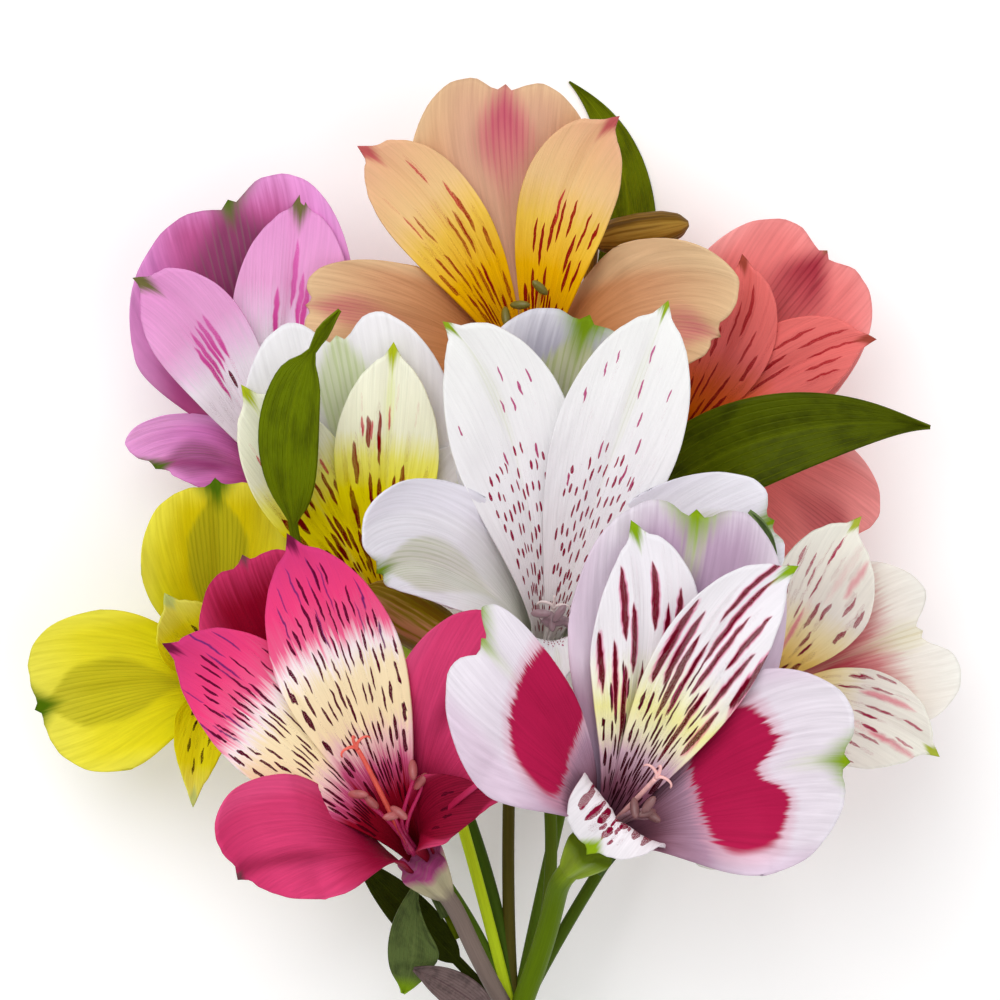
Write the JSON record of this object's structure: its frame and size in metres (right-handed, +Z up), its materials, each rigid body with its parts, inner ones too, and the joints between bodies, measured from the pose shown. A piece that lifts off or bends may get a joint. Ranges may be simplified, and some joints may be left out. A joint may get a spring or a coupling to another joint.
{
  "type": "alstroemeria stem",
  "caption": "Cut alstroemeria stem laid on its side, with an umbel of open lily-like blooms in mixed colours, streaked inner petals, a few leaves and closed buds.",
  "frame": {"origin": "middle of the bounding box at the level of the surface that the stem lies on", "axes": "+Z up, +Y along the stem from its cut end to the farthest bloom, +X to the right seen from above"},
  "size_m": [0.1644, 0.3041, 0.0818],
  "materials": {
    "stem_green": "smooth fresh stem with a soft waxy sheen",
    "leaf_green": "smooth leaf with long parallel veins",
    "bract_purple": "matt grey purple bract",
    "bud_olive": "smooth closed bud",
    "stamens": "shiny filaments and matt anthers",
    "crimson_petal": "thin satin petal with fine veins, streaked on the inner ones",
    "magenta_petal": "thin satin petal with fine veins, streaked on the inner ones",
    "white_petal": "thin satin petal with fine veins, streaked on the inner ones",
    "cream_petal": "thin satin petal with fine veins, streaked on the inner ones",
    "peach_petal": "thin satin petal with fine veins, streaked on the inner ones",
    "mauve_petal": "thin satin petal with fine veins, streaked on the inner ones",
    "coral_petal": "thin satin petal with fine veins, streaked on the inner ones",
    "yellow_petal": "thin satin petal with fine veins, streaked on the inner ones",
    "blush_petal": "thin satin petal with fine veins, streaked on the inner ones"
  },
  "bodies": {
    "root": {"stem": "stem_green", "crimson_tepals": "crimson_petal", "crimson_stamens": "stamens", "magenta_tepals": "magenta_petal", "magenta_stamens": "stamens", "white_tepals": "white_petal", "white_stamens": "stamens", "cream_tepals": "cream_petal", "cream_stamens": "stamens", "peach_tepals": "peach_petal", "peach_stamens": "stamens", "mauve_tepals": "mauve_petal", "mauve_stamens": "stamens", "coral_tepals": "coral_petal", "coral_stamens": "stamens", "yellow_tepals": "yellow_petal", "yellow_stamens": "stamens", "blush_tepals": "blush_petal", "blush_stamens": "stamens", "leaf_top_right": "leaf_green", "leaf_left": "leaf_green", "leaf_right": "leaf_green", "leaf_bottom_dark": "leaf_green", "leaf_bottom_grey": "leaf_green", "leaf_curl": "leaf_green", "bract_purple": "bract_purple", "bud_top": "bud_olive", "bud_middle": "bud_olive"}
  },
  "joints": []
}
